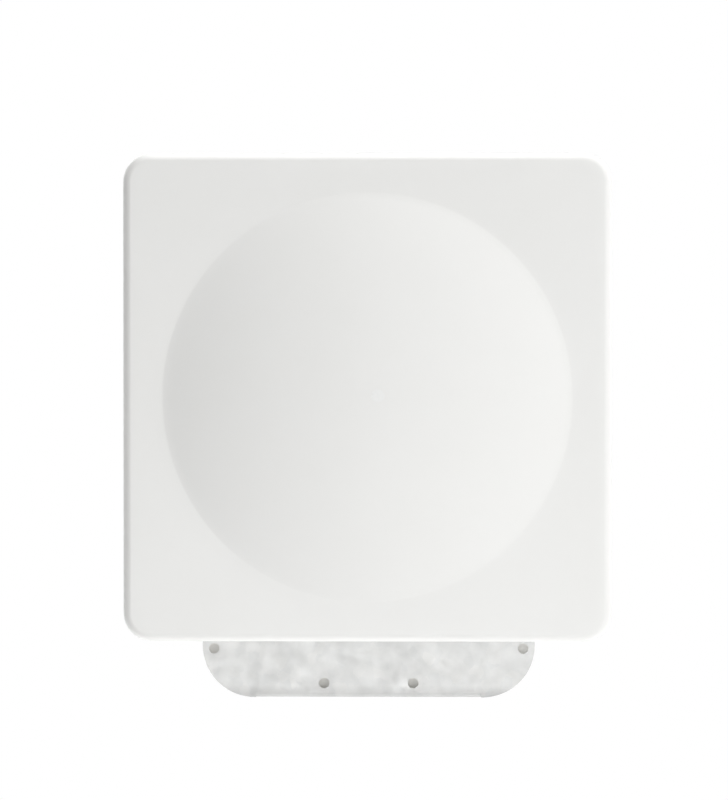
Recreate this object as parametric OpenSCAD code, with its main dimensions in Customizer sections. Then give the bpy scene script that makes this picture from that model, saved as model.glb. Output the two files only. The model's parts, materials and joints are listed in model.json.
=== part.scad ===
// Ceiling access point hung on a formed sheet-steel mounting plate.
// Every module is drawn in a wall frame: x to the right, y up the wall, z out into the room.
// from_wall() turns that into the part's own frame, with +Z up and the room on the -Y side.

/* [Unit] */
// Width and height of the square front cover
unit_w = 220; // [210:1:240]
// Corner radius of the cover, seen from the front
corner_r = 13; // [10:0.5:16]
// Radius of the rounded front edge
edge_r = 4; // [2.5:0.5:6]
// Wall thickness of the moulded cover
cover_t = 2.2; // [1.8:0.1:2.6]
// Distance from the wall to the flat front face
face_d = 40.5; // [40:0.5:46]
// Radius of the shallow dome's rim on the front face
dome_r = 92; // [80:1:98]
// Height of the dome above the flat face
dome_h = 12; // [8:0.5:16]

/* [Mounting plate] */
// Half the width of the plate
plate_half_w = 76.4; // [74:0.1:80]
// Lowest edge of the plate, below the unit's centre
plate_bottom = -138.5; // [-142:0.5:-137]
// Top edge of the plate, above the unit's centre
plate_top = 72; // [68:1:76]
// Thickness of the sheet steel
sheet_t = 1.2; // [1:0.1:1.5]
// Gap behind the panel, made by the turned-back flanges
stand_off = 2.6; // [2:0.2:3]
// Radius of the plate's lower corners
tongue_corner_r = 24; // [20:0.5:26]
// Radius of a wall screw hole
wall_hole_r = 2.4; // [2:0.1:2.8]

/* [Hooks and release lever] */
// Travel that lifts the unit off the hooks
lift = 9; // [9:0.5:9]
// Length of a hook above its shank
hook_lip = 8; // [7:0.5:8]
// Distance from the lever's pin to its nose
nose_arm = 22; // [20:0.5:23]
// How far the ramp pushes the nose back over the full lift
nose_push = 1.58; // [1.4:0.02:1.6]

/* [Ports] */
// Outer size of a modular jack: width, depth from its mouth, height off the board
jack_size = [16, 21.4, 13.4];
// Travel of the reset button
reset_travel = 1; // [0.6:0.1:1]

/* [Hidden] */
$fn = 64;

// Depths from the wall
panel_front = stand_off + sheet_t;
unit_back = panel_front + 1.8;
floor_t = 2;
floor_in = unit_back + floor_t;
flange_d = unit_back + 4;
gasket_t = 0.8;
skirt_d = flange_d + gasket_t;
wall_top_d = 32;
board_d = 27.4;
board_t = 1.6;
board_front = board_d + board_t;
tray_d = 35.5;
tray_t = 0.8;
tray_front = tray_d + tray_t;
cover_in = face_d - cover_t;
apex_d = face_d + dome_h;

// Dome, as part of a sphere
sphere_r = (dome_r * dome_r + dome_h * dome_h) / (2 * dome_h);
sphere_d = apex_d - sphere_r;
inner_dome_r = sqrt(pow(sphere_r - cover_t, 2) - pow(cover_in - sphere_d, 2));

// Rear housing
unit_half = unit_w / 2;
flange_half = unit_half - 1;
tub_half = unit_half - 3;
tub_t = 2;

// Hooks: centre of each, at the underside of its shank
hook_x = 58;
hook_ups = [42, -58];
hook_w = 10;
hook_back = floor_in + 0.5;
slot_play = 0.3;

// Release lever
pin_up = -68;
pin_d = 7;
pin_r = 1;
arm_d = [6.8, 7.8];
arm_bottom = -106;
nose_up = pin_up - nose_arm;
nose_tip_d = 9.6;
nose_gap = 0.3;
lever_bay = [-103, -62];
lever_bay_d = 11;

// Cable bay in the back of the housing
bay_x = 48;
bay_up = [-34, 30];
bay_d = 23.4;
bay_wall = 2;
ethernet_x = -30;
console_x = -10;
dc_x = 12;
reset_x = 28;
reset_d = 20;
jack_mouth = bay_up[1] + bay_wall;
jack_hole = [11.8, 15, 8];
jack_hole_d = 15.3;
transformer_up = 57.4;

// Fasteners
cover_screw_at = [[96, 96], [40, 98]];
board_post_at = [80, 80];
pilot_r = 1.25;
thread_r = 1.2;

// Status light
light_at = [5, 1];
lens_r = 2.9;

// Antennas: radius of the ring of feeds, the holes in the tray and the board's connectors
feed_ring = 54;
lead_hole_ring = 40;
connector_ring = 24;
lead_r = 0.7;
lead_bend = 2.5;
lead_low = board_front + 1.6;
lead_high = tray_front + lead_r;

module from_wall() rotate([90, 0, 0]) children();

module span(x, up, d)
    translate([x[0], up[0], d[0]]) cube([x[1] - x[0], up[1] - up[0], d[1] - d[0]]);

module post(at, r, d) translate([at[0], at[1], d[0]]) cylinder(r = r, h = d[1] - d[0]);

module post_up(x, d, r, up)
    translate([x, up[0], d]) rotate([-90, 0, 0]) cylinder(r = r, h = up[1] - up[0]);

module along_x(up, d, r, x)
    translate([x[0], up, d]) rotate([0, 90, 0]) cylinder(r = r, h = x[1] - x[0]);

module rounded_rect(w, h, r) {
    square([w - 2 * r, h], center = true);
    square([w, h - 2 * r], center = true);
    for (x = [-1, 1], y = [-1, 1]) translate([x * (w / 2 - r), y * (h / 2 - r)]) circle(r);
}

module block(half, r, d)
    translate([0, 0, d[0]]) linear_extrude(d[1] - d[0]) rounded_rect(2 * half, 2 * half, r);

module both_sides() for (s = [0, 1]) mirror([s, 0, 0]) children();

module four_ways() both_sides() for (s = [0, 1]) mirror([0, s, 0]) children();

module at_hooks() for (x = [-1, 1], up = hook_ups) translate([x * hook_x, up, 0]) children();

// --- Mounting plate -------------------------------------------------------------------

module plate_stretch(up, r)
    translate([0, (up[0] + up[1]) / 2]) rounded_rect(2 * plate_half_w, up[1] - up[0], r);

module plate_outline() {
    plate_stretch([plate_bottom, 0], tongue_corner_r, $fn = 128);
    plate_stretch([-60, plate_top], 12);
}

module plate_holes() {
    translate([0, -3]) rounded_rect(92, 74, 2);
    for (x = [-1, 1]) {
        translate([x * 71.1, -116]) circle(wall_hole_r);
        translate([x * 20.5, -132]) circle(wall_hole_r);
        for (up = [-90, 58]) translate([x * 66, up]) rounded_rect(4.6, 13, 2.29);
    }
    for (up = [-1, 1]) translate([0, -3 + up * 41.65]) circle(2.2);
    at_hooks() translate([-hook_w / 2 - 0.6, sheet_t]) square([hook_w + 1.2, hook_lip + 5.6]);
}

// A sheet bend that turns the panel's edge back to the wall
module back_flange(half_len) {
    outer = 2 * sheet_t;
    rotate([90, 0, 90]) translate([0, 0, -half_len]) linear_extrude(2 * half_len) difference() {
        union() {
            translate([outer, panel_front - outer]) circle(outer);
            square([outer, panel_front - outer]);
        }
        translate([outer, panel_front - outer]) circle(outer - sheet_t);
        translate([sheet_t, -1]) square([outer, panel_front - outer + 1]);
        translate([outer, -outer]) square([outer + 1, panel_front + 2 * outer]);
        translate([-1, -outer]) square([outer + 1, outer]);
    }
}

module hook() {
    lip_top = sheet_t + hook_lip;
    rotate([90, 0, 90]) translate([0, 0, -hook_w / 2]) linear_extrude(hook_w) polygon([
        [0, stand_off], [sheet_t, stand_off], [sheet_t, hook_back], [lip_top, hook_back + 0.4],
        [lip_top, hook_back + sheet_t - 0.5], [lip_top - 0.8, hook_back + sheet_t],
        [0.6, hook_back + sheet_t], [0, hook_back + sheet_t - 0.6]
    ]);
}

module mounting_plate() color("gainsboro") {
    bend = 2 * sheet_t;
    flat_half = plate_half_w - tongue_corner_r - 0.6;
    difference() {
        union() {
            translate([0, 0, stand_off]) linear_extrude(sheet_t) difference() {
                plate_outline();
                plate_holes();
                translate([-flat_half, plate_bottom - 1]) square([2 * flat_half, bend + 1]);
                translate([-62, plate_top - bend]) square([124, bend + 1]);
            }
            translate([0, plate_bottom, 0]) back_flange(flat_half);
            translate([0, plate_top, 0]) mirror([0, 1, 0]) back_flange(62);
            at_hooks() hook();
            both_sides() span([8, 9.2], [pin_up - 4, pin_up + 4], [stand_off, pin_d + 2.6]);
        }
        along_x(pin_up, pin_d, pin_r + 0.05, [-12, 12]);
    }
}

module lever_pin() color("silver") {
    along_x(pin_up, pin_d, pin_r, [-9.3, 10]);
    along_x(pin_up, pin_d, 1.9, [-10.3, -9.3]);
}

module release_lever() color("lightgray") difference() {
    union() {
        along_x(pin_up, pin_d, 2.2, [-3.5, 3.5]);
        span([-3.5, 3.5], [pin_up - 4, pin_up - 1.5], arm_d);
        translate([0, (arm_bottom + pin_up - 3) / 2, arm_d[0]]) linear_extrude(arm_d[1] - arm_d[0])
            rounded_rect(12, pin_up - 3 - arm_bottom, 1.5);
        along_x(nose_up, nose_tip_d - 1, 1, [-5, 5]);
        span([-5, 5], [nose_up - 1, nose_up + 1], [arm_d[1] - 0.2, nose_tip_d - 1]);
    }
    along_x(pin_up, pin_d, pin_r + 0.06, [-6, 6]);
}

// Torsion spring: closed turns round the pin, one leg down the lever and one up the plate
module lever_spring() color("dimgray") {
    wire_r = 0.3;
    turn_r = 1.75;
    translate([3.9, pin_up, pin_d]) rotate([0, 90, 0]) rotate_extrude()
        for (i = [0:5]) translate([turn_r, wire_r + 0.52 * i]) circle(wire_r, $fn = 24);
    post_up(4.2, pin_d + turn_r, wire_r - 0.04, [pin_up - 9, pin_up - 0.1]);
    post_up(6.8, pin_d - turn_r, wire_r - 0.04, [pin_up + 0.1, pin_up + 8]);
}

// --- Rear housing ---------------------------------------------------------------------

module at_cover_screws() for (at = cover_screw_at) four_ways() translate([at[0], at[1], 0]) children();

module ramp() {
    slope = nose_push / lift;
    floor_at_nose = nose_tip_d + nose_gap;
    high = nose_up + 2.5;
    low = nose_up - lift - 1.5;
    rotate([90, 0, 90]) translate([0, 0, -6]) linear_extrude(12) polygon([
        [high, lever_bay_d + 0.5], [high, floor_at_nose + slope * 2.5],
        [low, floor_at_nose - slope * (lift + 1.5)], [low, lever_bay_d + 0.5]
    ]);
}

module housing_solids() {
    difference() {
        union() {
            block(flange_half, corner_r - 1, [unit_back, flange_d]);
            block(tub_half, corner_r - 3, [flange_d, wall_top_d]);
        }
        block(tub_half - tub_t, corner_r - 3 - tub_t, [floor_in, wall_top_d + 1]);
    }
    at_hooks() span([-7.5, 7.5], [-11.5, 11.5], [floor_in, hook_back + sheet_t + 2.5]);
    span([-14.6, 14.6], [lever_bay[0] - 1.6, lever_bay[1] + 1.6], [floor_in, lever_bay_d + 1.6]);
    at_cover_screws() post([0, 0], 5, [floor_in, 12]);
    four_ways() post(board_post_at, 3.2, [floor_in, board_d]);
    both_sides() post([board_post_at[0], 0], 3.2, [floor_in, board_d]);
    post([-88, -30], 4, [floor_in, 14]);
}

module hook_slots() at_hooks() {
    top = sheet_t + slot_play;
    span([-hook_w / 2 - 1, hook_w / 2 + 1], [-lift - 1, top], [unit_back - 1, floor_in + 1]);
    span([-hook_w / 2 - 1, hook_w / 2 + 1], [-lift - 1, hook_lip + 2], [floor_in, hook_back + sheet_t + 1]);
}

module rear_housing() color("lightgray") difference() {
    union() {
        difference() {
            housing_solids();
            hook_slots();
            span([-13, 13], lever_bay, [unit_back - 1, lever_bay_d]);
            span([-10, 10], [-unit_half, lever_bay[0] + 1], [unit_back - 1, flange_d - 1.2]);
            bay_outside([unit_back - 1, floor_in + 1]);
        }
        ramp();
    }
    at_cover_screws() {
        post([0, 0], 1.7, [unit_back - 1, 13]);
        post([0, 0], 3.3, [unit_back - 1, unit_back + 3]);
    }
    four_ways() post(board_post_at, pilot_r, [18, board_d + 1]);
    both_sides() post([board_post_at[0], 0], pilot_r, [18, board_d + 1]);
    four_ways() post([93, 72], 6.2, [unit_back - 1, unit_back + 1.2]);
    both_sides() for (up = [-12:6:54]) span([80, 104], [up, up + 2.4], [unit_back - 1, unit_back + 1]);
    post([-88, -30], 1.7, [unit_back - 1, 15]);
    post([88, -30], 2.5, [unit_back - 1, floor_in + 1]);
}

module bay_outside(d)
    span([-bay_x - bay_wall, bay_x + bay_wall], [bay_up[0] - bay_wall, bay_up[1] + bay_wall], d);

// Tub that the cables pass through, with the sockets' openings in its upper wall
module cable_bay() color("dimgray") difference() {
    bay_outside([unit_back, bay_d + bay_wall]);
    span([-bay_x, bay_x], bay_up, [unit_back - 1, bay_d]);
    for (x = [ethernet_x, console_x])
        span([x - 7, x + 7], [bay_up[1] - 1, bay_up[1] + 3], [board_d - jack_size[2], bay_d]);
    post_up(dc_x, 20.6, 3.2, [bay_up[1] - 1, bay_up[1] + 3]);
    post_up(reset_x, reset_d, 2.3, [bay_up[1] - 1, bay_up[1] + 3]);
}

// --- Front cover and its trim ---------------------------------------------------------

module edge_profile(r, fillet, h) {
    square([r - fillet, h]);
    square([r, h - fillet]);
    translate([r - fillet, h - fillet]) circle(fillet);
}

// A rounded square block whose front edge is rounded too
module soft_block(half, r, fillet, d) {
    core = half - r;
    h = d[1] - d[0];
    translate([0, 0, d[0]]) {
        translate([-core, -core, 0]) cube([2 * core, 2 * core, h]);
        for (turn = [0:90:270]) rotate(turn) {
            translate([core, core, 0]) rotate_extrude(angle = 90) edge_profile(r, fillet, h);
            translate([core, core, 0]) rotate([90, 0, 0]) linear_extrude(2 * core) edge_profile(r, fillet, h);
        }
    }
}

module dome_cap(r, rim_r, d) intersection() {
    translate([0, 0, sphere_d]) sphere(r, $fn = 200);
    post([0, 0], rim_r, d);
}

module front_cover() color("whitesmoke") difference() {
    union() {
        difference() {
            union() {
                soft_block(unit_half, corner_r, edge_r, [skirt_d, face_d]);
                dome_cap(sphere_r, dome_r, [face_d - 1, apex_d + 1]);
            }
            soft_block(unit_half - cover_t, corner_r - cover_t, edge_r - cover_t, [skirt_d - 1, cover_in]);
            dome_cap(sphere_r - cover_t, inner_dome_r, [cover_in - 1, apex_d]);
        }
        at_cover_screws() post([0, 0], 3.4, [12, cover_in + 0.5]);
    }
    at_cover_screws() post([0, 0], pilot_r, [11, 26]);
    post(light_at, lens_r + 0.1, [cover_in, apex_d + 1]);
}

module cover_gasket() color("dimgray") difference() {
    block(tub_half + 1.6, corner_r - 1.4, [flange_d, skirt_d]);
    block(tub_half + 0.1, corner_r - 2.9, [flange_d - 1, skirt_d + 1]);
}

module pan_screw(r, head_r, head, tip) difference() {
    union() {
        post([0, 0], head_r, head);
        post([0, 0], r, [min(head[0], tip), max(head[1], tip)]);
    }
    children();
}

module cover_screws() color("silver") at_cover_screws()
    pan_screw(thread_r, 2.9, [unit_back + 0.6, unit_back + 3], 22)
        translate([0, 0, unit_back]) cylinder(r = 1.2, h = 1.8, $fn = 6);

module corner_pads() color("dimgray") four_ways() post([93, 72], 6, [unit_back - 2.2, unit_back + 1.2]);

module rating_label() color("white")
    translate([0, 86, unit_back - 0.2]) linear_extrude(0.2) rounded_rect(62, 16, 1.5);

module vent_plug() color("dimgray") {
    post([88, -30], 4, [unit_back - 1.2, unit_back]);
    post([88, -30], 2.45, [unit_back, floor_in + 0.8]);
}

module ground_screw() color("goldenrod") translate([-88, -30, 0]) difference() {
    union() {
        post([0, 0], 4.4, [unit_back - 0.8, unit_back]);
        post([0, 0], 3.6, [unit_back - 2.8, unit_back - 0.8]);
        post([0, 0], 1.65, [unit_back, 13]);
    }
    for (turn = [0, 90]) rotate(turn) span([-2, 2], [-0.4, 0.4], [unit_back - 3, unit_back - 1.6]);
}

module light_pipe() color("aliceblue") {
    intersection() {
        post(light_at, lens_r, [apex_d - 3, apex_d + 1]);
        translate([0, 0, sphere_d]) sphere(sphere_r, $fn = 200);
    }
    post(light_at, 4.2, [apex_d - 4, apex_d - 2.7]);
    post(light_at, 2, [board_front + 1.7, apex_d - 3.5]);
}

// --- Main board -----------------------------------------------------------------------

module main_board() color("seagreen") difference() {
    translate([0, 0, board_d]) linear_extrude(board_t) rounded_rect(172, 172, 3);
    four_ways() post(board_post_at, 1.6, [board_d - 1, board_front + 1]);
    both_sides() post([board_post_at[0], 0], 1.6, [board_d - 1, board_front + 1]);
}

module board_screws() color("silver") both_sides() translate([board_post_at[0], 0, 0])
    pan_screw(thread_r, 2.6, [board_front, board_front + 2], 20)
        translate([0, 0, board_front + 0.8]) cylinder(r = 1.2, h = 2, $fn = 6);

// A part on the back of the board, given its centre, size and height off the board
module chip(at, size)
    translate([at[0] - size[0] / 2, at[1] - size[1] / 2, board_d - size[2]]) cube(size);

module processor() color("dimgray") {
    chip([0, 73], [23, 23, 1.2]);
    chip([0, 73], [17, 17, 2.4]);
}

module memory_chips() color("dimgray") for (x = [-28, 28], up = [67, 80]) chip([x, up], [13, 9, 1.2]);

module radio_chips() color("dimgray") both_sides() chip([58, 66], [11, 11, 1.3]);

module shield_cans() color("silver") both_sides() difference() {
    chip([58, 66], [27, 28, 4]);
    translate([0, 0, 0.4]) chip([58, 66], [26.2, 27.2, 4]);
    for (x = [-9:6:9], up = [-9:6:9]) post([58 + x, 66 + up], 0.8, [board_d - 5, board_d - 3]);
}

module heat_spreader() color("silver") difference() {
    span([-15, 15], [61, 86], [floor_in, board_d - 3.4]);
    for (x = [-9:6:9]) span([x - 1.5, x + 1.5], [60, 87], [floor_in + 3, board_d - 6.4]);
}

module thermal_pads() color("lightpink") span([-8.5, 8.5], [64.5, 81.5], [board_d - 3.4, board_d - 2.4]);

module line_transformers() color("dimgray") for (x = [ethernet_x, console_x]) {
    chip([x, transformer_up], [14, 5, 5.4]);
    for (side = [-1, 1], i = [-5:2:5]) chip([x + i, transformer_up + side * 3], [0.7, 1, 0.8]);
}

module inductors() color("slategray") for (x = [24, 38, 52]) difference() {
    chip([x, -66], [10, 10, 5]);
    for (turn = [0:90:270]) translate([x, -66, 0]) rotate(turn + 45)
        span([6, 9], [-5, 5], [board_d - 6, board_d + 1]);
}

module capacitors() color("midnightblue") for (x = [-60:12:-24]) {
    post([x, -66], 4, [board_d - 10, board_d - 0.6]);
    chip([x, -66], [8.4, 8.4, 0.6]);
}

module status_led() color("ivory") {
    translate([light_at[0], light_at[1], 0]) {
        span([-1.6, 1.6], [-1.4, 1.4], [board_front, board_front + 0.8]);
        post([0, 0], 1.1, [board_front, board_front + 1.3]);
    }
}

// --- Ports ----------------------------------------------------------------------------

module modular_jack(x) color("silver") difference() {
    span([x - jack_size[0] / 2, x + jack_size[0] / 2], [jack_mouth, jack_mouth + jack_size[1]],
        [board_d - jack_size[2], board_d]);
    span([x - jack_hole[0] / 2, x + jack_hole[0] / 2], [jack_mouth - 1, jack_mouth + jack_hole[1]],
        [jack_hole_d, jack_hole_d + jack_hole[2]]);
    span([x - 3, x + 3], [jack_mouth - 1, jack_mouth + 8], [jack_hole_d - 1, jack_hole_d + 1]);
}

// Eight spring wires that lie along the jack's board side
module jack_contacts(x) color("gold") for (i = [0:7]) translate([x - 3.57 + 1.02 * i, 0, 0]) {
    span([-0.25, 0.25], [jack_mouth + 2, jack_mouth + jack_hole[1]], [22.6, 23.1]);
    span([-0.25, 0.25], [jack_mouth + 2, jack_mouth + 2.5], [23.05, 23.3]);
}

module ethernet_jack() modular_jack(ethernet_x);

module console_jack() modular_jack(console_x);

module ethernet_contacts() jack_contacts(ethernet_x);

module console_contacts() jack_contacts(console_x);

module dc_jack() color("dimgray") difference() {
    span([dc_x - 4.5, dc_x + 4.5], [jack_mouth, jack_mouth + 14], [16.4, board_d]);
    post_up(dc_x, 20.6, 3, [jack_mouth - 1, jack_mouth + 10]);
}

module dc_pin() color("silver") post_up(dc_x, 20.6, 1, [jack_mouth + 1, jack_mouth + 10]);

module reset_button() color("dimgray") {
    post_up(reset_x, reset_d, 2, [bay_up[1] - 1.4, 34]);
    post_up(reset_x, reset_d, 3, [bay_up[1] + bay_wall + 0.3, bay_up[1] + bay_wall + 1.3]);
    post_up(reset_x, reset_d, 1.2, [33.5, 38.4]);
}

module reset_switch() color("silver") {
    span([reset_x - 3.5, reset_x + 3.5], [41, 45], [16.5, board_d]);
    post_up(reset_x, reset_d, 1.6, [38.4 + reset_travel + 0.3, 41.2]);
}

// --- Antennas -------------------------------------------------------------------------

module antenna_tray() color("silver") translate([0, 0, tray_d]) linear_extrude(tray_t) difference() {
    rounded_rect(172, 172, 6);
    for (x = [-1, 1], y = [-1, 1]) translate([x * board_post_at[0], y * board_post_at[1]]) circle(1.6);
    translate(light_at) circle(4.8);
    for (turn = [0:60:300]) rotate(turn) translate([lead_hole_ring + lead_bend, 0]) circle(2);
    for (x = [-1, 1], y = [-1, 1]) translate([x * 72, y * 56]) rounded_rect(14, 26, 4);
}

module at_board_corners() four_ways() translate([board_post_at[0], board_post_at[1], 0]) children();

module tray_standoffs() color("gold") at_board_corners() difference() {
    union() {
        translate([0, 0, board_front]) cylinder(r = 3, h = tray_d - board_front, $fn = 6);
        post([0, 0], thread_r, [20, board_front + 0.5]);
    }
    post([0, 0], pilot_r, [board_front + 2, tray_d + 1]);
}

module tray_screws() color("silver") at_board_corners()
    pan_screw(thread_r, 2.4, [tray_front, tray_front + 1.6], board_front + 2.5)
        translate([0, 0, tray_front + 0.6]) cylinder(r = 1, h = 2, $fn = 6);

// A bent-strip radiator: a flat top on a grounded leg, with a feed leg beside it
module radiator(length, width, height) {
    leg = 0.5;
    x0 = feed_ring + 1.4;
    translate([0, 0, tray_front]) {
        span([x0, x0 + width], [-6, length - 6], [height - leg, height]);
        span([x0, x0 + width], [-6, -6 + leg], [0, height]);
        span([x0, x0 + width], [-10, -6 + leg], [0, leg]);
        span([x0, x0 + leg], [-0.8, 0.8], [0.4, height]);
    }
}

module antennas_2g() color("goldenrod") for (turn = [0:120:240]) rotate(turn) radiator(30, 9, 6);

module antennas_5g() color("goldenrod") for (turn = [60:120:300]) rotate(turn) radiator(16, 6, 4.5);

module quarter_bend(r) rotate([90, 0, 0]) rotate_extrude(angle = 90) translate([lead_bend, 0]) circle(r);

// One coaxial lead: along the board, up through the tray and on to the feed
module lead() {
    hole = lead_hole_ring + lead_bend;
    along_x(0, lead_low, lead_r, [connector_ring + 2, hole - lead_bend]);
    translate([hole - lead_bend, 0, lead_low + lead_bend]) mirror([0, 0, 1]) quarter_bend(lead_r);
    post([hole, 0], lead_r, [lead_low + lead_bend, lead_high - lead_bend]);
    translate([hole + lead_bend, 0, lead_high - lead_bend]) mirror([1, 0, 0]) quarter_bend(lead_r);
    along_x(0, lead_high, lead_r, [hole + lead_bend, feed_ring + 1.3]);
}

module antenna_leads() color("dimgray") for (turn = [0:60:300]) rotate(turn) lead();

module coax_connectors() color("gold") for (turn = [0:60:300]) rotate(turn)
    translate([connector_ring, 0, 0]) coax_connector();

module coax_connector() {
    span([-1.5, 1.5], [-1.5, 1.5], [board_front, board_front + 0.5]);
    post([0, 0], 1.4, [board_front, board_front + 2.6]);
    span([0, 1.95], [-0.9, 0.9], [board_front + 0.8, board_front + 2.6]);
}

from_wall() {
    mounting_plate();
    lever_pin();
    release_lever();
    lever_spring();
    rear_housing();
    cable_bay();
    front_cover();
    cover_gasket();
    cover_screws();
    corner_pads();
    rating_label();
    vent_plug();
    ground_screw();
    light_pipe();
    main_board();
    board_screws();
    processor();
    memory_chips();
    radio_chips();
    shield_cans();
    heat_spreader();
    thermal_pads();
    line_transformers();
    inductors();
    capacitors();
    status_led();
    reset_switch();
    reset_button();
    ethernet_jack();
    ethernet_contacts();
    console_jack();
    console_contacts();
    dc_jack();
    dc_pin();
    antenna_tray();
    tray_standoffs();
    tray_screws();
    antennas_2g();
    antennas_5g();
    antenna_leads();
    coax_connectors();
}
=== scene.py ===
"""Looks of the ceiling access point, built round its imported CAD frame.

Lengths are in metres. Many shapes are drawn in a wall frame, as (x, up, depth): x to the right, up the
wall, and depth from the wall into the room. wall() turns such a point into the row frame, with the room
on the -Y side.
"""

import json
import math

import bmesh
import bpy
from mathutils import Matrix, Vector


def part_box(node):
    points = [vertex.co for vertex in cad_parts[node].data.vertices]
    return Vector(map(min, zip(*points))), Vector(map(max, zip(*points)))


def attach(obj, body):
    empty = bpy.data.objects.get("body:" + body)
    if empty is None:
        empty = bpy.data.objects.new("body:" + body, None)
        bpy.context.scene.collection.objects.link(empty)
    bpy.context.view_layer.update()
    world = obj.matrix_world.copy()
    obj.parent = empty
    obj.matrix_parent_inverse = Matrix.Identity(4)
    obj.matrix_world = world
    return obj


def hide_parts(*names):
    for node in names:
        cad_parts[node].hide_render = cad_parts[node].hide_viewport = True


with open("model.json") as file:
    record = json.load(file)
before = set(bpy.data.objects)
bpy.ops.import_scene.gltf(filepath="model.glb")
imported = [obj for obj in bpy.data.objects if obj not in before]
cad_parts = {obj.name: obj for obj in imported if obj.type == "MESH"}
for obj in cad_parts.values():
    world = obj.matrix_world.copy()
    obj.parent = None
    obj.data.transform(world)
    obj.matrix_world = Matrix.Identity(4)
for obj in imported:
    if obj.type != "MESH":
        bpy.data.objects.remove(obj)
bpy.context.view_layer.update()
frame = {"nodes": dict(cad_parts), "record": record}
MM = 0.001
nodes = frame["nodes"]


def wall(x, up, depth):
    """Turns a point of the wall frame into the row frame."""
    return Vector((x, -depth, up))


# --- Camera, lights and backdrop ------------------------------------------------------

cover_low, cover_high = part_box("front_cover")
COVER_HALF = (cover_high.x - cover_low.x) / 2
SKIRT_DEPTH = -cover_high.y
APEX_DEPTH = -cover_low.y
DOME_H = 12 * MM
FACE_DEPTH = APEX_DEPTH - DOME_H

VIEW_HEIGHT = 0.3602  # of the picture, measured in the plane of the cover's outline
CAMERA_DISTANCE = 1.6  # from that plane
CAMERA_AIM = wall(-1.5 * MM, -1.1 * MM, FACE_DEPTH - 4 * MM)
CAMERA_OFF_AXIS = wall(30 * MM, 28 * MM, 0)  # a little to the right of the object and above it


def add_camera():
    data = bpy.data.cameras.new("camera")
    data.sensor_width = 36
    data.lens = data.sensor_width * CAMERA_DISTANCE / VIEW_HEIGHT
    data.clip_end = 20  # well past the floor
    camera = bpy.data.objects.new("camera", data)
    camera.location = CAMERA_AIM + CAMERA_OFF_AXIS + wall(0, 0, CAMERA_DISTANCE)
    camera.rotation_euler = (CAMERA_AIM - camera.location).to_track_quat("-Z", "Y").to_euler()
    bpy.context.scene.collection.objects.link(camera)
    bpy.context.scene.camera = camera


def add_light(name, place, size, power, aim=(0, 0, 0)):
    data = bpy.data.lights.new(name, "AREA")
    data.shape = "RECTANGLE"
    data.size, data.size_y = size
    data.energy = power
    lamp = bpy.data.objects.new(name, data)
    lamp.location = place
    lamp.rotation_euler = (Vector(aim) - Vector(place)).to_track_quat("-Z", "Y").to_euler()
    lamp.visible_camera = False
    bpy.context.scene.collection.objects.link(lamp)


SWEEP_START, SWEEP_END = 0.6, 0.95  # how far a ray looks along +Y where the backdrop turns white


def add_world(ambient, side_grey):
    """A backdrop that is white behind the front view and pale grey elsewhere, and a dim white light."""
    world = bpy.data.worlds.new("studio")
    world.use_nodes = True
    tree = world.node_tree
    tree.nodes.clear()
    out = tree.nodes.new("ShaderNodeOutputWorld")
    mix = tree.nodes.new("ShaderNodeMixShader")
    path = tree.nodes.new("ShaderNodeLightPath")
    soft = tree.nodes.new("ShaderNodeBackground")
    seen = tree.nodes.new("ShaderNodeBackground")
    soft.inputs["Color"].default_value = (*ambient, 1)
    direction = tree.nodes.new("ShaderNodeTexCoord")
    split = tree.nodes.new("ShaderNodeSeparateXYZ")
    sweep = tree.nodes.new("ShaderNodeMapRange")
    sweep.interpolation_type = "SMOOTHSTEP"
    sweep.inputs["From Min"].default_value = SWEEP_START
    sweep.inputs["From Max"].default_value = SWEEP_END
    sweep.inputs["To Min"].default_value = side_grey
    sweep.inputs["To Max"].default_value = 1
    tree.links.new(direction.outputs["Generated"], split.inputs[0])
    tree.links.new(split.outputs["Y"], sweep.inputs["Value"])
    tree.links.new(sweep.outputs[0], seen.inputs["Color"])
    tree.links.new(path.outputs["Is Camera Ray"], mix.inputs["Fac"])
    tree.links.new(soft.outputs[0], mix.inputs[1])
    tree.links.new(seen.outputs[0], mix.inputs[2])
    tree.links.new(mix.outputs[0], out.inputs["Surface"])
    bpy.context.scene.world = world


add_camera()
bpy.context.scene.view_settings.view_transform = "Standard"
bpy.context.scene.view_settings.look = "None"
add_world((0.08, 0.08, 0.08), 0.76)
add_light("right", (1.5, -0.6, 0.35), (0.8, 0.8), 12)
add_light("above", (0.1, -0.6, 1.4), (0.8, 0.8), 15.5)
add_light("low", (0.1, -1.0, -0.31), (1.2, 0.2), 3.5)
add_light("under", (0, -0.05, -0.4), (0.6, 0.25), 0.35)
add_light("floor_wash", (0, 0, -0.2), (2.4, 2.4), 10, aim=(0, 0, -1))
add_light("edge_right", (0.7, 0.42, 0), (0.5, 0.8), 2.5)
add_light("edge_left", (-0.7, 0.42, 0), (0.5, 0.8), 2.2)
add_light("edge_top", (0, 0.12, 0.8), (0.8, 0.2), 3)
add_light("back", (-0.9, 1.6, 0.8), (1.0, 1.0), 12)

# --- Materials ------------------------------------------------------------------------


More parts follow.
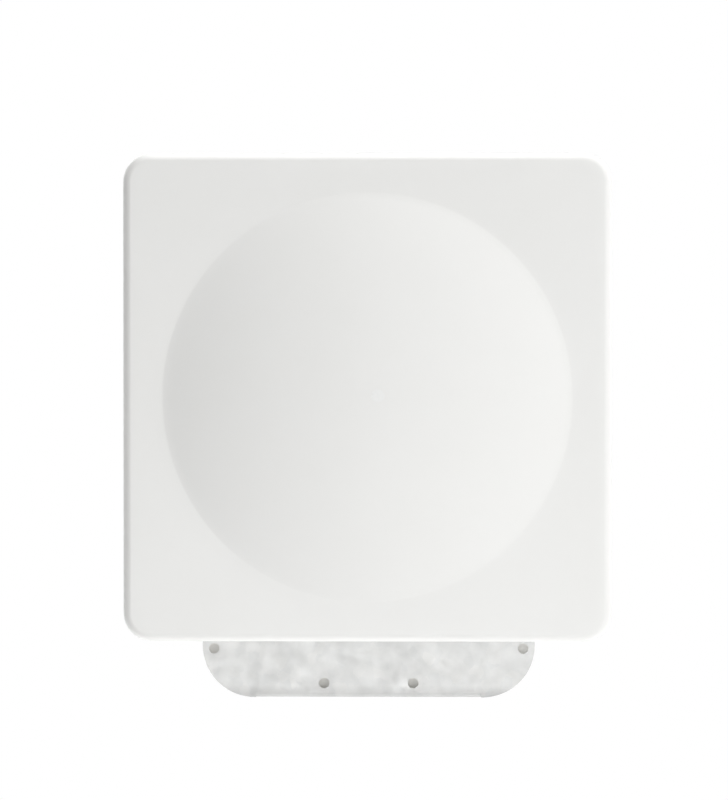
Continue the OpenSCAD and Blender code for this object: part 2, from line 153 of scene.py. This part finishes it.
class Finish:
    """A Principled material and short calls that wire patterns into it, measured in the object's metres."""

    def __init__(self, name, color, roughness, metallic=0.0):
        self.material = bpy.data.materials.new(name)
        self.material.use_nodes = True
        self.tree = self.material.node_tree
        self.shader = self.tree.nodes["Principled BSDF"]
        self.shader.inputs["Base Color"].default_value = (*color, 1)
        self.shader.inputs["Roughness"].default_value = roughness
        self.shader.inputs["Metallic"].default_value = metallic
        self.material.diffuse_color = (*color, 1)
        self.normal = None
        self.place = self.tree.nodes.new("ShaderNodeTexCoord").outputs["Object"]

    def stretched(self, scale):
        mapping = self.tree.nodes.new("ShaderNodeMapping")
        mapping.inputs["Scale"].default_value = scale
        self.tree.links.new(self.place, mapping.inputs["Vector"])
        return mapping.outputs[0]

    def noise(self, size, detail, stretch=None, warp=0.0):
        """Noise whose blotches are about size metres across."""
        node = self.tree.nodes.new("ShaderNodeTexNoise")
        node.inputs["Scale"].default_value = 1 / size
        node.inputs["Detail"].default_value = detail
        node.inputs["Distortion"].default_value = warp
        self.tree.links.new(self.stretched(stretch) if stretch else self.place, node.inputs["Vector"])
        return node.outputs["Fac"]

    def cells(self, size, output="Color", disorder=1.0, warp=0.0):
        """Voronoi crystals about size metres across, with their borders bent by warp metres."""
        node = self.tree.nodes.new("ShaderNodeTexVoronoi")
        node.inputs["Scale"].default_value = 1 / size
        node.inputs["Randomness"].default_value = disorder
        source = self.place
        if warp:
            shake = self.tree.nodes.new("ShaderNodeTexNoise")
            shake.inputs["Scale"].default_value = 1 / size
            self.tree.links.new(self.place, shake.inputs["Vector"])
            bent = self.tree.nodes.new("ShaderNodeVectorMath")
            bent.operation = "MULTIPLY_ADD"
            bent.inputs[1].default_value = (warp, warp, warp)
            self.tree.links.new(shake.outputs["Color"], bent.inputs[0])
            self.tree.links.new(self.place, bent.inputs[2])
            source = bent.outputs[0]
        self.tree.links.new(source, node.inputs["Vector"])
        return node.outputs[output]

    def spread(self, value, low, high, start, end):
        """Maps a value from start..end to low..high."""
        node = self.tree.nodes.new("ShaderNodeMapRange")
        node.inputs["From Min"].default_value = start
        node.inputs["From Max"].default_value = end
        node.inputs["To Min"].default_value = low
        node.inputs["To Max"].default_value = high
        self.tree.links.new(value, node.inputs["Value"])
        return node.outputs[0]

    def grid(self, cell, line):
        """Dark lines, line metres wide, round blank fields of cell (x, up) metres, on a face along Y."""
        turn = self.tree.nodes.new("ShaderNodeMapping")
        turn.inputs["Rotation"].default_value = (math.pi / 2, 0, 0)
        node = self.tree.nodes.new("ShaderNodeTexBrick")
        node.offset = 0
        node.squash = 1
        node.inputs["Scale"].default_value = 1
        node.inputs["Brick Width"].default_value, node.inputs["Row Height"].default_value = cell
        node.inputs["Mortar Size"].default_value = line / 2
        node.inputs["Mortar Smooth"].default_value = 0.2
        self.tree.links.new(self.place, turn.inputs["Vector"])
        self.tree.links.new(turn.outputs[0], node.inputs["Vector"])
        return node.outputs["Fac"]

    def blend(self, value, low_color, high_color, start=0.3, end=0.7):
        """Fades from one colour to the other as the value goes from start to end."""
        ramp = self.tree.nodes.new("ShaderNodeValToRGB")
        ramp.color_ramp.elements[0].position = start
        ramp.color_ramp.elements[0].color = (*low_color, 1)
        ramp.color_ramp.elements[1].position = end
        ramp.color_ramp.elements[1].color = (*high_color, 1)
        self.tree.links.new(value, ramp.inputs["Fac"])
        return ramp.outputs["Color"]

    def scaled(self, color, amount):
        node = self.tree.nodes.new("ShaderNodeVectorMath")
        node.operation = "SCALE"
        self.tree.links.new(color, node.inputs[0])
        self.tree.links.new(amount, node.inputs["Scale"])
        return node.outputs[0]

    def paint_shade_below(self, color, up, fade, factor):
        """Darkens a colour below a height: painted shade along a bent edge that turns away from the light.
        """
        split = self.tree.nodes.new("ShaderNodeSeparateXYZ")
        self.tree.links.new(self.place, split.inputs[0])
        return self.scaled(color, self.spread(split.outputs["Z"], factor, 1, up - fade, up))

    def color(self, value):
        self.tree.links.new(value, self.shader.inputs["Base Color"])

    def rough(self, value):
        self.tree.links.new(value, self.shader.inputs["Roughness"])

    def bump(self, height, depth):
        """Raises the surface by up to depth metres, on top of any earlier bump."""
        node = self.tree.nodes.new("ShaderNodeBump")
        node.inputs["Strength"].default_value = 1
        node.inputs["Distance"].default_value = depth
        self.tree.links.new(height, node.inputs["Height"])
        if self.normal:
            self.tree.links.new(self.normal, node.inputs["Normal"])
        self.normal = node.outputs[0]
        self.tree.links.new(self.normal, self.shader.inputs["Normal"])


def white_cover():
    """Warm white moulded plastic with a fine spark-eroded grain."""
    f = Finish("white_cover", (0.80, 0.80, 0.785), 0.5)
    f.color(f.blend(f.noise(60 * MM, 3), (0.797, 0.797, 0.781), (0.806, 0.806, 0.792)))
    f.rough(f.spread(f.noise(14 * MM, 4), 0.47, 0.56, 0.3, 0.7))
    f.bump(f.noise(0.55 * MM, 3), 0.012 * MM)
    f.bump(f.noise(0.16 * MM, 2), 0.006 * MM)
    return f.material


BEND_UP, BEND_FADE, BEND_SHADE = -133 * MM, 4 * MM, 0.82  # where and how much painted shade darkens the plate towards its bend


def galvanised_steel():
    """Zinc spangle: crystals of slightly different greys, with feathered borders and a dull bloom."""
    f = Finish("galvanised_steel", (0.63, 0.63, 0.62), 0.42, 0.35)
    crystals = f.blend(f.cells(4.5 * MM, warp=5 * MM), (0.61, 0.615, 0.61), (0.65, 0.65, 0.64), 0.1, 0.9)
    bloom = f.spread(f.noise(9 * MM, 4), 0.95, 1.05, 0.35, 0.65)
    # painted shade: the zinc colour darkens towards the plate's bottom bend
    f.color(f.paint_shade_below(f.scaled(crystals, bloom), BEND_UP, BEND_FADE, BEND_SHADE))
    f.rough(f.spread(f.noise(5 * MM, 5), 0.34, 0.52, 0.3, 0.7))
    f.bump(f.noise(2.5 * MM, 6, warp=0.6), 0.02 * MM)
    return f.material


def powder_coat(name, color):
    f = Finish(name, color, 0.5)
    dark = tuple(c * 0.94 for c in color)
    f.color(f.blend(f.noise(20 * MM, 4), dark, color))
    f.rough(f.spread(f.noise(8 * MM, 4), 0.42, 0.58, 0.3, 0.7))
    f.bump(f.noise(0.9 * MM, 3), 0.035 * MM)
    f.bump(f.noise(0.25 * MM, 2), 0.01 * MM)
    return f.material


def plastic(name, color, roughness, grain=0.3 * MM):
    f = Finish(name, color, roughness)
    lighter = tuple(min(1, c * 1.08 + 0.004) for c in color)
    f.color(f.blend(f.noise(9 * MM, 4), color, lighter))
    f.rough(f.spread(f.noise(4 * MM, 4), roughness - 0.06, roughness + 0.08, 0.3, 0.7))
    f.bump(f.noise(grain, 3), 0.012 * MM)
    return f.material


def rubber(name, color):
    f = Finish(name, color, 0.75)
    f.color(f.blend(f.noise(3 * MM, 5), color, tuple(c * 1.35 for c in color)))
    f.rough(f.spread(f.noise(2 * MM, 4), 0.66, 0.86, 0.3, 0.7))
    f.bump(f.noise(0.35 * MM, 4), 0.03 * MM)
    return f.material


def metal(name, color, roughness, stretch=None):
    """Bare or plated metal with drawn lines along the shortest stretch axis."""
    f = Finish(name, color, roughness, 1.0)
    lines = f.noise(0.6 * MM, 3, stretch)
    f.color(f.blend(f.noise(7 * MM, 4), tuple(c * 0.9 for c in color), color))
    f.rough(f.spread(lines, roughness - 0.08, roughness + 0.1, 0.3, 0.7))
    f.bump(lines, 0.008 * MM)
    return f.material


def label_film():
    """White polyester film with a printed frame of empty fields."""
    film, ink = (0.78, 0.78, 0.77), (0.25, 0.25, 0.26)
    f = Finish("label_film", film, 0.35)
    lines = f.grid((15.5 * MM, 4 * MM), 0.3 * MM)
    f.color(f.blend(lines, film, ink, 0.4, 0.6))
    f.rough(f.spread(f.noise(6 * MM, 4), 0.3, 0.42, 0.3, 0.7))
    f.bump(f.noise(0.9 * MM, 3), 0.01 * MM)
    return f.material


def solder_mask():
    f = Finish("board_green", (0.015, 0.13, 0.06), 0.32)
    weave = f.noise(0.8 * MM, 2)
    tracks = f.cells(3.2 * MM, "Distance", 0.2)
    f.color(f.blend(tracks, (0.012, 0.11, 0.05), (0.02, 0.17, 0.08), 0.2, 0.6))
    f.rough(f.spread(f.noise(3 * MM, 3), 0.26, 0.4, 0.3, 0.7))
    f.bump(weave, 0.01 * MM)
    return f.material


def clear_lens():
    f = Finish("clear_lens", (0.82, 0.825, 0.815), 0.3)
    f.color(f.blend(f.noise(1.5 * MM, 3), (0.81, 0.815, 0.805), (0.83, 0.835, 0.825)))
    f.rough(f.spread(f.noise(1 * MM, 3), 0.26, 0.36, 0.3, 0.7))
    return f.material


FINISHES = {
    "white_cover": white_cover(),
    "galvanised_steel": galvanised_steel(),
    "cast_housing": powder_coat("cast_housing", (0.50, 0.51, 0.51)),
    "grey_plastic": plastic("grey_plastic", (0.12, 0.125, 0.125), 0.5),
    "stainless": metal("stainless", (0.6, 0.6, 0.59), 0.32, (1, 1, 0.06)),
    "spring_steel": metal("spring_steel", (0.35, 0.35, 0.35), 0.3),
    "screw_steel": metal("screw_steel", (0.62, 0.62, 0.6), 0.3),
    "seal_rubber": rubber("seal_rubber", (0.03, 0.03, 0.03)),
    "pad_rubber": rubber("pad_rubber", (0.035, 0.035, 0.037)),
    "label_film": label_film(),
    "black_plastic": plastic("black_plastic", (0.016, 0.016, 0.017), 0.45),
    "button_black": plastic("button_black", (0.012, 0.012, 0.012), 0.38),
    "brass_plate": metal("brass_plate", (0.7, 0.52, 0.24), 0.28),
    "clear_lens": clear_lens(),
    "board_green": solder_mask(),
    "chip_black": plastic("chip_black", (0.013, 0.013, 0.014), 0.55, 0.15 * MM),
    "tin_plate": metal("tin_plate", (0.66, 0.66, 0.65), 0.3),
    "bare_aluminium": metal("bare_aluminium", (0.72, 0.73, 0.74), 0.34, (0.05, 1, 1)),
    "pad_gel": rubber("pad_gel", (0.5, 0.3, 0.33)),
    "ferrite": plastic("ferrite", (0.035, 0.035, 0.037), 0.6, 0.4 * MM),
    "can_blue": plastic("can_blue", (0.03, 0.045, 0.11), 0.3, 0.6 * MM),
    "led_white": plastic("led_white", (0.8, 0.76, 0.5), 0.25, 0.4 * MM),
    "jack_shell": metal("jack_shell", (0.62, 0.61, 0.58), 0.26),
    "gold_contact": metal("gold_contact", (0.83, 0.6, 0.24), 0.24),
    "contact_nickel": metal("contact_nickel", (0.6, 0.59, 0.56), 0.2),
    "antenna_metal": metal("antenna_metal", (0.75, 0.5, 0.3), 0.3),
    "coax_jacket": plastic("coax_jacket", (0.02, 0.02, 0.02), 0.42, 0.2 * MM),
}
SLOT_OF = {part["node"]: part["material_slot"] for part in frame["record"]["subparts"]}


SHARP_ANGLE = math.radians(35)  # edges that turn more than this are sharp


def dress(piece, slot):
    piece.data.materials.clear()
    piece.data.materials.append(FINISHES[slot])


def soften(piece, width):
    """Rounds the sharp edges of a piece, as its moulding, stamping or plating does."""
    bevel = piece.modifiers.new("edges", "BEVEL")
    bevel.width = width
    bevel.segments = 2
    bevel.limit_method = "ANGLE"
    bevel.angle_limit = SHARP_ANGLE
    bevel.harden_normals = True


# --- Mesh tools -----------------------------------------------------------------------


def add_piece(name, mesh, slot, body, *stands_for):
    for face in mesh.polygons:
        face.use_smooth = True
    mesh.set_sharp_from_angle(angle=SHARP_ANGLE)
    piece = bpy.data.objects.new(name, mesh)
    bpy.context.scene.collection.objects.link(piece)
    mesh.materials.append(FINISHES[slot])
    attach(piece, body)
    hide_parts(*stands_for)


def loft(bm, loops, close_last=False, close_first=False):
    """Skins closed loops of equal length, in order, with optional caps."""
    rows = [[bm.verts.new(p) for p in loop] for loop in loops]
    for low, high in zip(rows, rows[1:]):
        for i in range(len(low)):
            j = (i + 1) % len(low)
            bm.faces.new((low[i], low[j], high[j], high[i]))
    if close_first:
        bm.faces.new(list(reversed(rows[0])))
    if close_last:
        bm.faces.new(rows[-1])


def to_mesh(bm, name):
    bmesh.ops.recalc_face_normals(bm, faces=bm.faces)
    mesh = bpy.data.meshes.new(name)
    bm.to_mesh(mesh)
    bm.free()
    return mesh


# --- Front cover ----------------------------------------------------------------------

CORNER_R = 13 * MM
EDGE_R = 4 * MM
WALL_T = 2.2 * MM
SKIRT_LIP = 0.25 * MM  # chamfer at the cover's back rim
DOME_R = 92 * MM
INNER_DOME_R = 91.7 * MM
SPHERE_R = (DOME_R**2 + DOME_H**2) / (2 * DOME_H)
SPHERE_DEPTH = APEX_DEPTH - SPHERE_R
SIDE_STEPS, CORNER_STEPS = 44, 14
lens_low, lens_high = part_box("light_pipe")
LENS_AT = ((lens_low.x + lens_high.x) / 2, (lens_low.z + lens_high.z) / 2)
LENS_HOLE_R = 2.93 * MM
LENS_LIP = 0.04 * MM
BOSS_R, BOSS_DEPTH, BOSS_SIDES = 3.4 * MM, 12 * MM, 24
PILOT_R, PILOT_LENGTH = 1.25 * MM, 14 * MM
COVER_SCREWS = [
    (side * x * MM, end * up * MM) for x, up in ((96, 96), (40, 98)) for side in (1, -1) for end in (1, -1)
]


def square_loop(half, r):
    """Points round a square with rounded corners, evenly spread along its sides and corners."""
    core = half - r
    points = []
    for turn in range(4):
        spin = Matrix.Rotation(math.radians(90 * turn), 2)
        for i in range(SIDE_STEPS):
            points.append(spin @ Vector((half, -core + 2 * core * i / SIDE_STEPS)))
        for i in range(CORNER_STEPS):
            a = math.pi / 2 * i / CORNER_STEPS
            points.append(spin @ Vector((core + r * math.cos(a), core + r * math.sin(a))))
    return points


def circle_loop(r, centre=(0, 0)):
    """Points round a circle, each on the same ray as its neighbour in square_loop."""
    points = []
    for p in square_loop(COVER_HALF, CORNER_R):
        points.append(Vector(centre) + p.normalized() * r)
    return points


def at_depth(loop, depth):
    return [wall(p.x, p.y, depth) for p in loop]


def on_sphere(loop, sphere_r):
    return [wall(p.x, p.y, SPHERE_DEPTH + math.sqrt(sphere_r**2 - p.length_squared)) for p in loop]


def dome_loops(sphere_r, rim_r, hole_r, steps):
    """Rings that narrow from the rim to the lens hole, sliding over to its centre."""
    rings = []
    for i in range(steps + 1):
        t = i / steps
        centre = Vector(LENS_AT) * t**2
        rings.append(on_sphere(circle_loop(rim_r + (hole_r - rim_r) * t, centre), sphere_r))
    return rings


def inset_loop(inset, depth):
    """The cover's outline, drawn in by inset."""
    return at_depth(square_loop(COVER_HALF - inset, CORNER_R - inset), depth)


def edge_loops(wall_t, radius, face_depth, steps):
    """Rings round the front edge, from the side wall to the face, wall_t inside the outline."""
    loops = []
    for i in range(steps + 1):
        a = math.pi / 2 * i / steps
        inset = wall_t + radius * (1 - math.cos(a))
        loops.append(inset_loop(inset, face_depth - radius * (1 - math.sin(a))))
    return loops


def outer_loops():
    """Rings over the outer skin, from the back rim to the lens hole."""
    loops = [inset_loop(SKIRT_LIP, SKIRT_DEPTH)]
    for depth in (SKIRT_DEPTH + SKIRT_LIP, SKIRT_DEPTH + 8 * MM, FACE_DEPTH - EDGE_R - 6 * MM):
        loops.append(inset_loop(0, depth))
    loops += edge_loops(0, EDGE_R, FACE_DEPTH, 10)
    loops.append(inset_loop(6 * MM, FACE_DEPTH))
    loops.append(at_depth(circle_loop(DOME_R + 2 * MM), FACE_DEPTH))
    loops.append(at_depth(circle_loop(DOME_R + 0.4 * MM), FACE_DEPTH))
    return loops + dome_loops(SPHERE_R, DOME_R - 0.15 * MM, LENS_HOLE_R + LENS_LIP, 30)


def inner_loops():
    """Rings over the inner skin, from the back rim to the lens hole."""
    loops = [inset_loop(WALL_T, SKIRT_DEPTH)]
    loops += edge_loops(WALL_T, EDGE_R - WALL_T, FACE_DEPTH - WALL_T, 4)
    loops.append(at_depth(circle_loop(INNER_DOME_R), FACE_DEPTH - WALL_T))
    return loops + dome_loops(SPHERE_R - WALL_T, INNER_DOME_R - 0.1 * MM, LENS_HOLE_R, 16)


def boss_ring(x, up, r, depth):
    points = []
    for i in range(BOSS_SIDES):
        a = 2 * math.pi * i / BOSS_SIDES
        points.append(wall(x + r * math.cos(a), up + r * math.sin(a), depth))
    return points


def add_boss(bm, x, up):
    """A screw boss with its blind pilot hole, standing on the cover's inner face."""
    foot = FACE_DEPTH - WALL_T + 0.3 * MM
    profile = (
        (BOSS_R + 0.8 * MM, foot),
        (BOSS_R + 0.2 * MM, foot - 1.2 * MM),
        (BOSS_R, foot - 4 * MM),
        (BOSS_R, BOSS_DEPTH + 0.3 * MM),
        (BOSS_R - 0.3 * MM, BOSS_DEPTH),
        (PILOT_R, BOSS_DEPTH),
        (PILOT_R, BOSS_DEPTH + PILOT_LENGTH),
    )
    rings = [boss_ring(x, up, r, depth) for r, depth in profile]
    loft(bm, rings, close_first=True, close_last=True)


def front_cover():
    bm = bmesh.new()
    inner = inner_loops()
    lip = on_sphere(circle_loop(LENS_HOLE_R, LENS_AT), SPHERE_R - LENS_LIP)
    loft(bm, [inner[0]] + outer_loops() + [lip] + list(reversed(inner)))
    bmesh.ops.remove_doubles(bm, verts=bm.verts, dist=1e-7)
    for x, up in COVER_SCREWS:
        add_boss(bm, x, up)
    mesh = to_mesh(bm, "front_cover_shell")
    add_piece("front_cover_shell", mesh, "white_cover", "access_point", "front_cover")


front_cover()

# --- CAD nodes that stay, with softened edges -----------------------------------------

EDGE_WIDTHS = {
    "mounting_plate": 0.18 * MM,
    "rear_housing": 0.35 * MM,
    "cable_bay": 0.3 * MM,
    "release_lever": 0.15 * MM,
    "corner_pads": 0.5 * MM,
    "vent_plug": 0.3 * MM,
    "ground_screw": 0.2 * MM,
    "cover_screws": 0.15 * MM,
    "reset_button": 0.25 * MM,
    "ethernet_jack": 0.15 * MM,
    "console_jack": 0.15 * MM,
    "dc_jack": 0.2 * MM,
    "light_pipe": 0.03 * MM,
}
OTHER_EDGE_WIDTH = 0.08 * MM

for name, node in nodes.items():
    if name != "front_cover":
        dress(node, SLOT_OF[name])
        soften(node, EDGE_WIDTHS.get(name, OTHER_EDGE_WIDTH))

# --- Floor, and the wall that shows through the plate's holes ---------------------------

FLOOR_R, FLOOR_UP = 1.25, -0.42
TONGUE_CORNER_R = 24 * MM
PATCH_TOP = -100 * MM
PATCH_INSET = 1.5 * MM  # keeps the patch inside the plate's outline


def one_sided(finish):
    """Makes a stage material clear when it is seen from behind."""
    tree = finish.tree
    clear = tree.nodes.new("ShaderNodeBsdfTransparent")
    mix = tree.nodes.new("ShaderNodeMixShader")
    side = tree.nodes.new("ShaderNodeNewGeometry")
    tree.links.new(side.outputs["Backfacing"], mix.inputs["Fac"])
    tree.links.new(finish.shader.outputs[0], mix.inputs[1])
    tree.links.new(clear.outputs[0], mix.inputs[2])
    tree.links.new(mix.outputs[0], tree.nodes["Material Output"].inputs["Surface"])
    return finish.material


def add_floor():
    place = (0, 0, FLOOR_UP)
    bpy.ops.mesh.primitive_circle_add(vertices=96, radius=FLOOR_R, fill_type="NGON", location=place)
    floor = bpy.context.object
    floor.name = "floor"
    f = Finish("floor", (0.6, 0.6, 0.6), 0.7)
    f.color(f.blend(f.noise(0.2, 3), (0.59, 0.59, 0.59), (0.61, 0.61, 0.61)))
    floor.data.materials.append(one_sided(f))


def add_wall_patch():
    """The shaded wall seen through the plate's screw holes. It shows from the room side only."""
    low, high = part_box("mounting_plate")
    half, r = high.x - PATCH_INSET, TONGUE_CORNER_R - PATCH_INSET
    outline = [(half, PATCH_TOP), (-half, PATCH_TOP)]
    for side, first in ((-1, 180), (1, 270)):
        for a in range(first, first + 91, 10):
            turn = math.radians(a)
            up = low.z + PATCH_INSET + r * (1 + math.sin(turn))
            outline.append((side * (half - r) + r * math.cos(turn), up))
    mesh = bpy.data.meshes.new("wall_patch")
    mesh.from_pydata([wall(x, up, -0.4 * MM) for x, up in outline], [], [list(range(len(outline)))])
    patch = bpy.data.objects.new("wall_patch", mesh)
    bpy.context.scene.collection.objects.link(patch)
    f = Finish("wall_patch", (0.68, 0.67, 0.64), 0.8)
    mesh.materials.append(one_sided(f))
    patch.visible_diffuse = False  # it must not shade the back of the plate
    patch.visible_glossy = False
    patch.visible_shadow = False


add_floor()
add_wall_patch()
